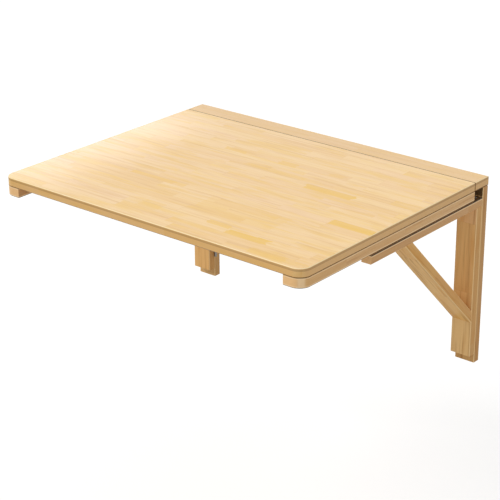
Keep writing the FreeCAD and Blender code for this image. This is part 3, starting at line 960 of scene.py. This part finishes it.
class TABLE_OT_screws(bpy.types.Operator):
    """Make the screws of the hinges, the battens and the brackets"""
    bl_idname = "table.screws"
    bl_label = "Screws"

    def execute(self, context):
        look = context.scene.table_screws
        steel = screw_steel("screw_steel", context.scene.table_metal)
        fixed, moving = [], []
        for name in ("left", "middle", "right"):
            low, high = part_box("leaf_hinge_fixed_plate_" + name)
            x = (low.x + high.x) / 2
            fixed += [(x + step * LEAF_HINGE_SPREAD,
                       high.y - FIXED_INSET - FIXED_STAGGER * (step == 0),
                       high.z - LEAF_PLATE) for step in (-1, 0, 1)]
            low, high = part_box("leaf_hinge_moving_plate_" + name)
            moving += [(x + step * LEAF_HINGE_SPREAD,
                        low.y + MOVING_INSET + MOVING_STAGGER * (step == 0),
                        high.z - LEAF_PLATE) for step in (-1, 0, 1)]
        screws("screws_leaf_hinges_ledge", "wall_frame", fixed, DOWN, look.plate_head, look.proud, steel)
        screws("screws_leaf_hinges_leaf", "leaf", moving, DOWN, look.plate_head, look.moving_proud,
               steel)

        low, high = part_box("batten_right")
        x = (low.x + high.x) / 2
        rows = np.linspace(high.y - BATTEN_BACK_INSET, low.y + BATTEN_FRONT_INSET, BATTEN_SCREWS)
        places = [(side * x, y, low.z) for _, side in SIDES for y in rows]
        screws("screws_battens", "leaf", places, DOWN, look.wood_head, look.proud, steel)

        for name, side in SIDES:
            body = name + "_bracket"
            arm_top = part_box("bracket_arm_" + name)[1].z
            stile_low, stile_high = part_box("bracket_stile_" + name)
            brace_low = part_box("bracket_brace_" + name)[0]
            x = (stile_low.x + stile_high.x) / 2
            stile_y = (stile_low.y + stile_high.y) / 2
            places = [(x - ARM_SPREAD, stile_y, arm_top), (x + ARM_SPREAD, stile_y, arm_top),
                      (x, brace_low.y + BRACE_INSET, arm_top)]
            screws("screws_arm_" + name, body, places, UP, look.wood_head, look.proud, steel)
            foot = brace_low.z + BRACE_INSET
            places = [(x - STILE_SPREAD, stile_high.y, foot), (x + STILE_SPREAD, stile_high.y, foot)]
            screws("screws_stile_" + name, body, places, (0.0, 1.0, 0.0), look.wood_head, look.proud,
                   steel)
            for part, owner, facing in (("post", "wall_frame", -1.0), ("stile", body, 1.0)):
                places = []
                for level in ("upper", "lower"):
                    node = "bracket_hinge_" + part + "_plate_" + level + "_" + name
                    low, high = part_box(node)
                    outer = high.x if side > 0 else low.x
                    inner_y = (high.y if part == "post" else low.y) + facing * BRACKET_PLATE
                    z = (low.z + high.z) / 2
                    places += [(outer - side * BRACKET_HINGE_INSET, inner_y,
                                z + step * BRACKET_HINGE_SPREAD) for step in (1, -1)]
                screws("screws_hinge_" + part + "_" + name, owner, places, (0.0, facing, 0.0),
                       look.bracket_head, look.flush_proud, steel)
        return {"FINISHED"}


class TABLE_OT_studio(bpy.types.Operator):
    """Make the floor, the soft lamps, the pale world and the camera"""
    bl_idname = "table.studio"
    bl_label = "Studio"

    def execute(self, context):
        look = context.scene.table_studio
        make_floor(look)
        make_world(context.scene, look)
        make_key(look)
        make_panel(look)
        make_camera(context.scene, look)
        context.scene.view_settings.view_transform = "Standard"
        return {"FINISHED"}


# ---- studio

FLOOR_HALF = 9.0
FLOOR_LIFT = 0.52
FLOOR_CLOUDS = (2.0, 2.0, 2.0)
FLOOR_LAYER = (0.3, 0.7, 0.02)
FLOOR_CLOUD_TONE = (0.90, 0.90, 0.90)
KEY_PLACE = (-2.0, -2.2, 2.4)
KEY_SPREAD = math.radians(25)
KEY_COLOUR = (1.0, 0.985, 0.96)
SIDE_LAMP_PLACE = (1.30, -0.90, 0.50)
SIDE_LAMP_SIZE = 0.9
PANEL_HEIGHT = 0.8
PANEL_LOW = (-2.70, 0.60)
PANEL_HIGH = (-1.70, 1.90)
PANEL_SOFTNESS = 0.38
CAMERA_TARGET = (0.0069, -0.2952, 0.0490)
SENSOR_WIDTH = 36.0


def seen_directly(finish):
    """1 for the camera's own view and for what is mirrored or seen through glass, 0 for other light."""
    path = finish.node("LightPath").outputs
    mirrored = finish.math("MAXIMUM", path["Is Glossy Ray"], path["Is Transmission Ray"])
    return finish.math("MAXIMUM", path["Is Camera Ray"], mirrored)


def stage_sheet(name, low, high, level, material):
    """Level sheet between two corners, which faces up and isn't part of the table."""
    x, y = np.meshgrid(*zip(low, high), indexing="ij")
    points = np.stack([x, y, np.full_like(x, level)], axis=-1).reshape(-1, 3)
    mesh = bpy.data.meshes.new(name)
    mesh.from_pydata(points.tolist(), [], [(0, 2, 3, 1)])
    mesh.materials.append(material)
    sheet = bpy.data.objects.new(name, mesh)
    bpy.context.scene.collection.objects.link(sheet)
    return sheet


def make_floor(look):
    """Large flat floor, matt and pale. It takes the table's shadow and shows from above only."""
    finish = Finish("floor_paint")
    cloud = finish.noise(finish.node("TexCoord").outputs["Object"], FLOOR_CLOUDS, 0.0)
    paint = finish.layered(linear(look.floor), (cloud, *FLOOR_LAYER, FLOOR_CLOUD_TONE))
    matt = finish.node("BsdfDiffuse", {"Color": paint})
    lift = finish.node("Emission", {"Color": (1.0, 1.0, 1.0, 1.0),
                                    "Strength": finish.math("MULTIPLY", seen_directly(finish),
                                                            FLOOR_LIFT)})
    both = finish.node("AddShader", {0: matt.outputs[0], 1: lift.outputs[0]})
    below = finish.node("NewGeometry").outputs["Backfacing"]
    clear = finish.node("BsdfTransparent")
    shown = finish.node("MixShader", {0: below, 1: both.outputs[0], 2: clear.outputs[0]})
    finish.node("OutputMaterial", {"Surface": shown.outputs[0]})
    stage_sheet("floor", (-FLOOR_HALF, -FLOOR_HALF), (FLOOR_HALF, FLOOR_HALF),
                CAD_HIGH.z - look.floor_drop, finish.owner)


def make_world(scene, look):
    """White world for the camera and mirrors, softer for all other light."""
    finish = Finish("studio_world", "worlds")
    strength = finish.node("MapRange", {"Value": seen_directly(finish), "To Min": look.fill,
                                        "To Max": 1.0})
    light = finish.node("Background", {"Color": (1.0, 1.0, 1.0, 1.0),
                                       "Strength": strength.outputs["Result"]})
    finish.node("OutputWorld", {"Surface": light.outputs[0]})
    scene.world = finish.owner


def lamp(name, kind, place, target, energy, **settings):
    """Lamp of a kind at a place, aimed at a target."""
    data = bpy.data.lights.new(name, kind)
    data.energy = energy
    for key, value in settings.items():
        setattr(data, key, value)
    made = bpy.data.objects.new(name, data)
    made.location = place
    made.rotation_euler = (Vector(target) - Vector(place)).to_track_quat("-Z", "Y").to_euler()
    bpy.context.scene.collection.objects.link(made)


def make_key(look):
    """Soft key from the upper left front, and a small soft lamp beside the right end's front corner."""
    lamp("key", "SUN", KEY_PLACE, (CAD_LOW + CAD_HIGH) / 2, look.key, angle=KEY_SPREAD,
         color=KEY_COLOUR)
    lamp("side_lamp", "AREA", SIDE_LAMP_PLACE, (CAD_HIGH.x, CAD_LOW.y, CAD_HIGH.z), look.side,
         shape="DISK", size=SIDE_LAMP_SIZE)


def make_panel(look):
    """Plain soft panel high over the far left, which only shiny surfaces show.

    Its glow is 1, as bright as the world round it, plus the panel's share times a smooth fade at each side.
    """
    finish = Finish("soft_panel")
    parts = finish.node("SeparateXYZ", {"Vector": finish.node("TexCoord").outputs["Object"]}).outputs
    glow = look.panel
    for part, low, high in zip((parts["X"], parts["Y"]), PANEL_LOW, PANEL_HIGH):
        glow = finish.math("MULTIPLY", finish.ramp(part, low, low + PANEL_SOFTNESS), glow)
        glow = finish.math("MULTIPLY", finish.ramp(part, high - PANEL_SOFTNESS, high, 1.0, 0.0), glow)
    light = finish.node("Emission", {"Strength": finish.math("ADD", glow, 1.0)})
    finish.node("OutputMaterial", {"Surface": light.outputs[0]})
    sheet = stage_sheet("soft_panel", PANEL_LOW, PANEL_HIGH, CAD_HIGH.z + PANEL_HEIGHT, finish.owner)
    for way in ("camera", "diffuse", "shadow", "transmission", "volume_scatter"):
        setattr(sheet, "visible_" + way, False)


def make_camera(scene, look):
    """Camera at its angle round the target. Its back axis points from the target to it."""
    across = Vector((math.cos(look.azimuth), math.sin(look.azimuth), 0.0))
    back = Vector((math.sin(look.azimuth) * math.cos(look.elevation),
                   -math.cos(look.azimuth) * math.cos(look.elevation), math.sin(look.elevation)))
    up = back.cross(across)
    right = across * math.cos(look.roll) + up * math.sin(look.roll)
    rise = up * math.cos(look.roll) - across * math.sin(look.roll)
    data = bpy.data.cameras.new("camera")
    data.lens = look.lens
    data.sensor_width = SENSOR_WIDTH
    camera = bpy.data.objects.new("camera", data)
    turn = Matrix((right, rise, back)).transposed().to_4x4()
    place = Vector(CAMERA_TARGET) + back * look.distance
    camera.matrix_world = Matrix.Translation(place) @ turn
    scene.collection.objects.link(camera)
    scene.camera = camera


# ---- panel and start

STEPS = (TABLE_OT_top_boards, TABLE_OT_battens, TABLE_OT_frame_wood, TABLE_OT_hinges,
         TABLE_OT_rest_pads, TABLE_OT_screws, TABLE_OT_studio)


class TABLE_PT_steps(bpy.types.Panel):
    """Lists the steps that finish the table"""
    bl_label = "Drop Leaf Table"
    bl_space_type = "VIEW_3D"
    bl_region_type = "UI"
    bl_category = "Table"

    def draw(self, context):
        for step in STEPS:
            self.layout.operator(step.bl_idname)


CLASSES = (*SETTINGS.values(), *STEPS, TABLE_PT_steps)


def register():
    for cls in CLASSES:
        bpy.utils.register_class(cls)
    for name, group in SETTINGS.items():
        setattr(bpy.types.Scene, name, bpy.props.PointerProperty(type=group))


def unregister():
    for name in SETTINGS:
        delattr(bpy.types.Scene, name)
    for cls in reversed(CLASSES):
        bpy.utils.unregister_class(cls)


def main():
    """Runs every step in order."""
    register()
    bpy.ops.table.top_boards()
    bpy.ops.table.battens()
    bpy.ops.table.frame_wood()
    bpy.ops.table.hinges()
    bpy.ops.table.rest_pads()
    bpy.ops.table.screws()
    bpy.ops.table.studio()


if __name__ == "__main__":
    main()
